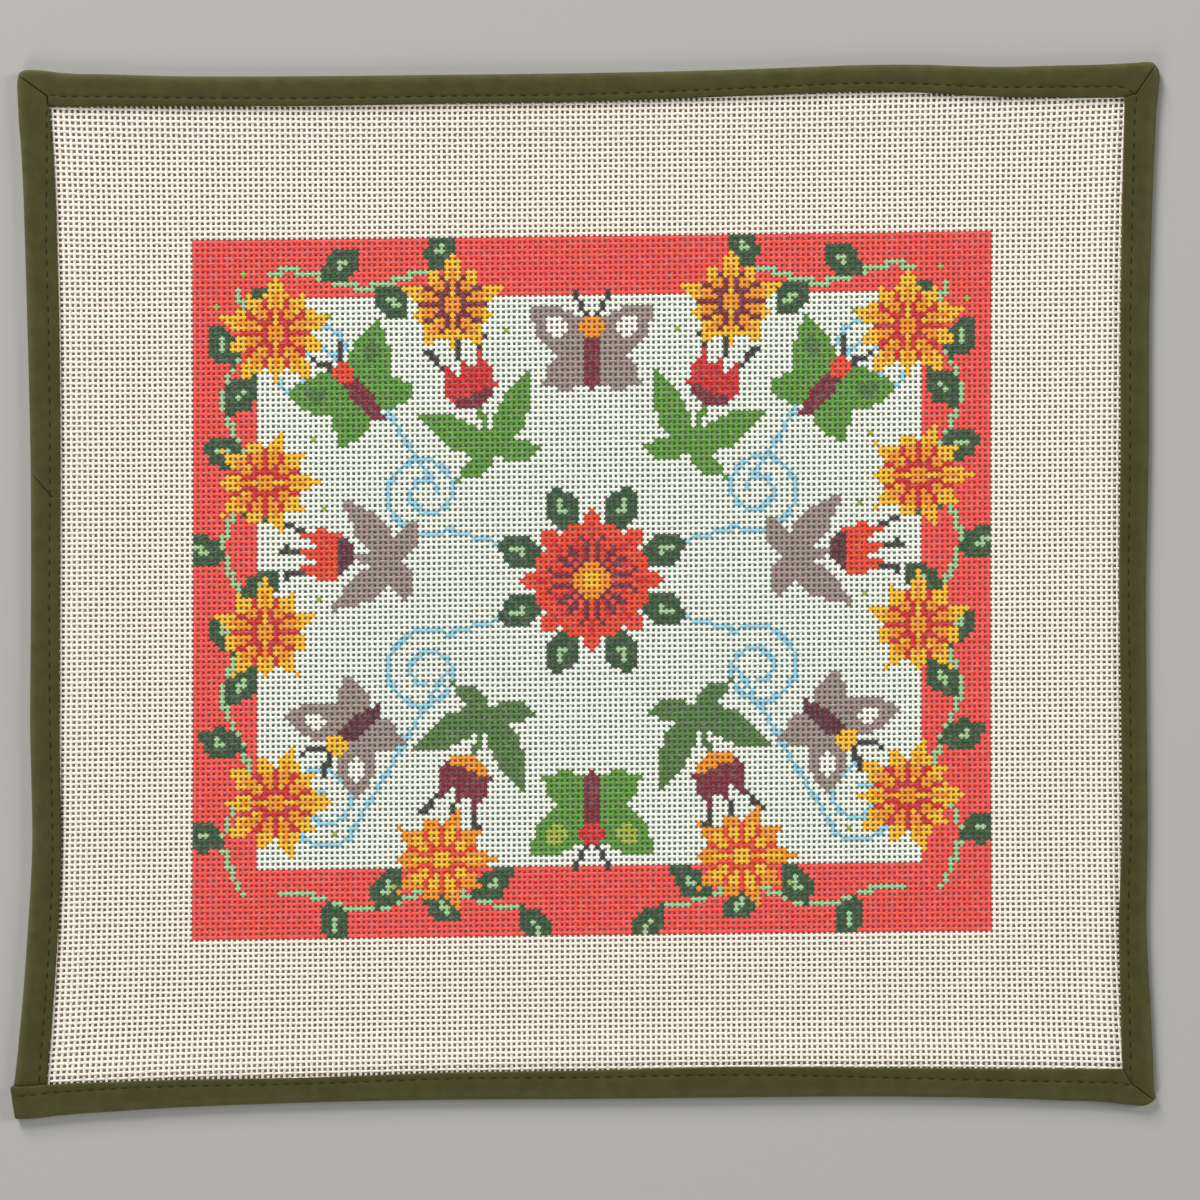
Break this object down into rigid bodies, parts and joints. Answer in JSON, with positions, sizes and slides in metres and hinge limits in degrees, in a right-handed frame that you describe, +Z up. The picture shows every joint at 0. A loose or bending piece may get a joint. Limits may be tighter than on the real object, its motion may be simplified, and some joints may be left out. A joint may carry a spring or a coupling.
{
  "type": "needlepoint canvas panel",
  "caption": "Flat open-weave cotton canvas painted with a border and flower design, its raw edges bound with folded tape; stretches on a frame for stitching.",
  "frame": {"origin": "on the surface it lies on, under the middle of the whole panel", "axes": "+X to the right of the design along the longer side, +Y towards the design's top edge, +Z up, out of the painted face"},
  "size_m": [0.419, 0.3856, 0.003],
  "materials": {
    "canvas": "sized open-weave cotton, cream, with a matt painted border and flower design",
    "binding": "matt olive cotton tape, folded and machine-stitched"
  },
  "bodies": {
    "root": {"canvas": "canvas", "binding": "binding"}
  },
  "joints": []
}
